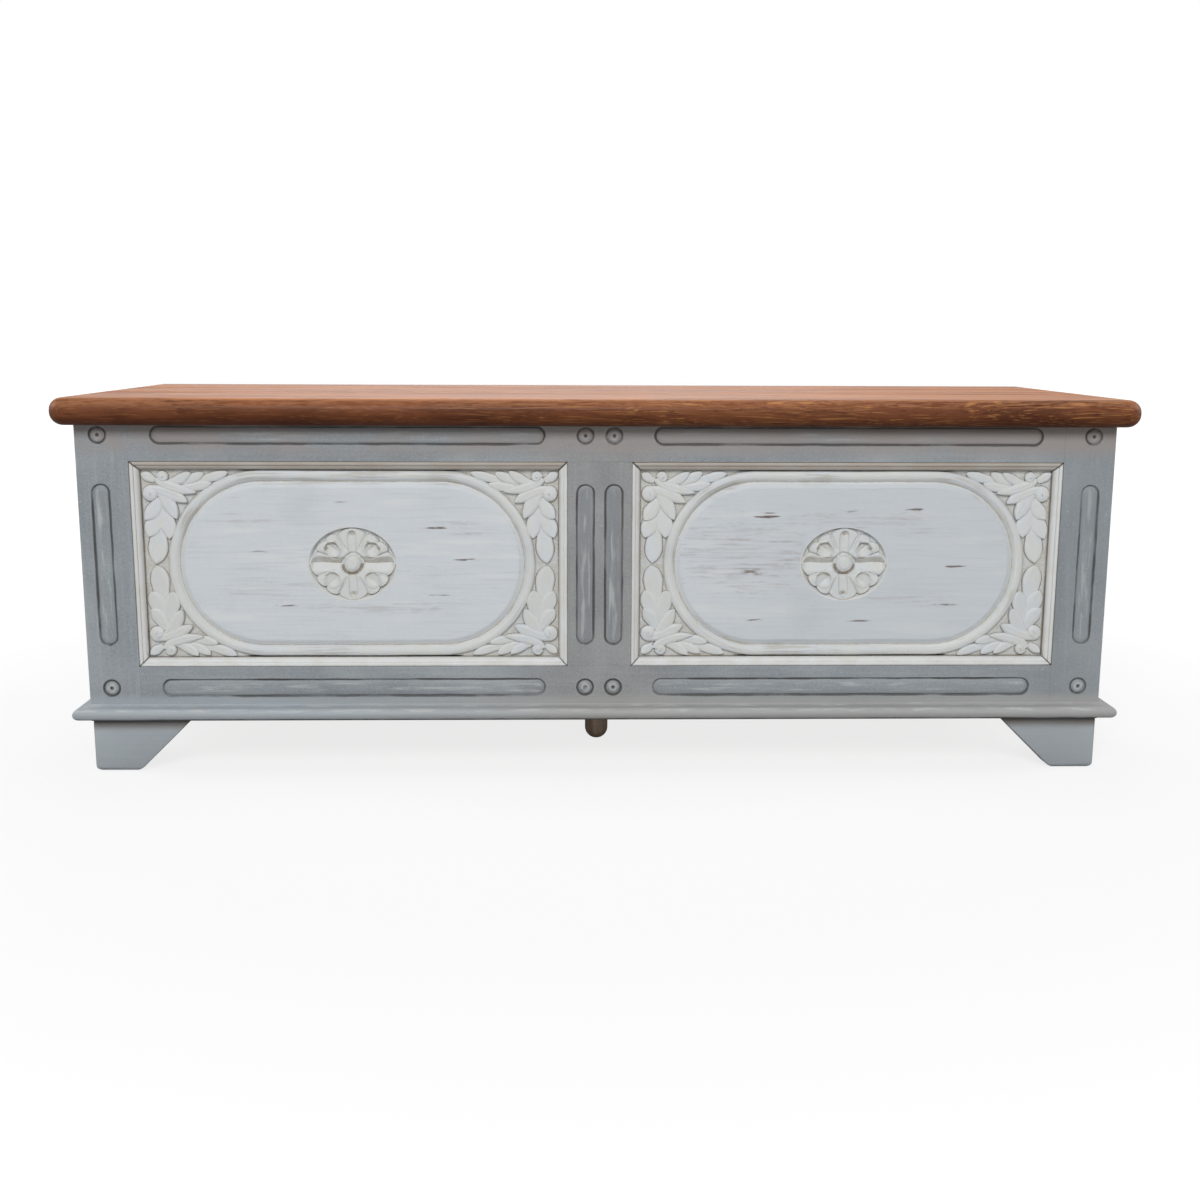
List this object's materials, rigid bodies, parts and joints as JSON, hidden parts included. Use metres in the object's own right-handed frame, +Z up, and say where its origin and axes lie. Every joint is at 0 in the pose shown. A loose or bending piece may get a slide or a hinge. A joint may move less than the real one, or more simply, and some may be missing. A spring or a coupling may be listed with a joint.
{
  "type": "blanket chest",
  "caption": "Low blanket chest: pegged and painted frame with carved front panels on bracket feet, and a varnished plank lid hinged along the back.",
  "frame": {"origin": "on the floor, under the middle of the lid's outline", "axes": "+X to the right along the chest, -Y out of the carved front, +Z up"},
  "size_m": [1.2, 0.428, 0.4263],
  "materials": {
    "lid_wood": "stained and varnished, glossy",
    "frame_paint": "aged grey paint, satin",
    "panel_paint": "distressed pale paint, matt",
    "beading_paint": "aged off-white paint, matt",
    "bare_wood": "bare softwood",
    "dark_wood": "dark bare wood",
    "brass": "aged brass"
  },
  "bodies": {
    "carcass": {"back_bottom_rail": "frame_paint", "back_muntin": "frame_paint", "back_panel_left": "frame_paint", "back_panel_right": "frame_paint", "back_pegs": "frame_paint", "back_top_rail": "frame_paint", "base_moulding_front": "frame_paint", "base_moulding_left": "frame_paint", "base_moulding_right": "frame_paint", "bottom_board_back": "bare_wood", "bottom_board_front": "bare_wood", "bottom_board_middle": "bare_wood", "centre_bearer": "bare_wood", "centre_foot_back": "dark_wood", "centre_foot_front": "dark_wood", "end_pegs": "frame_paint", "foot_back_left_end_bracket": "frame_paint", "foot_back_left_long_bracket": "frame_paint", "foot_back_right_end_bracket": "frame_paint", "foot_back_right_long_bracket": "frame_paint", "foot_blocks": "bare_wood", "foot_front_left_end_bracket": "frame_paint", "foot_front_left_long_bracket": "frame_paint", "foot_front_right_end_bracket": "frame_paint", "foot_front_right_long_bracket": "frame_paint", "front_beading_left": "beading_paint", "front_beading_right": "beading_paint", "front_bottom_rail": "frame_paint", "front_muntin": "frame_paint", "front_panel_left": "panel_paint", "front_panel_right": "panel_paint", "front_pegs": "frame_paint", "front_top_rail": "frame_paint", "hinge_fixed_screws": "brass", "hinge_left_fixed_leaf": "brass", "hinge_pins": "brass", "hinge_right_fixed_leaf": "brass", "left_end_bottom_rail": "frame_paint", "left_end_panel": "panel_paint", "left_end_top_rail": "frame_paint", "left_ledger": "bare_wood", "post_back_left": "frame_paint", "post_back_right": "frame_paint", "post_front_left": "frame_paint", "post_front_right": "frame_paint", "right_end_bottom_rail": "frame_paint", "right_end_panel": "panel_paint", "right_end_top_rail": "frame_paint", "right_ledger": "bare_wood"},
    "lid": {"hinge_left_lid_leaf": "brass", "hinge_lid_screws": "brass", "hinge_right_lid_leaf": "brass", "lid_batten_left": "bare_wood", "lid_batten_right": "bare_wood", "lid_batten_screws": "brass", "lid_board_back": "lid_wood", "lid_board_front": "lid_wood", "lid_board_middle": "lid_wood"}
  },
  "joints": [
    {"name": "lid_hinge", "type": "hinge", "parent": "carcass", "child": "lid", "pos_m": [0, 0.1968, 0.39615], "axis": [-1, 0, 0], "range_deg": [0, 105]}
  ]
}
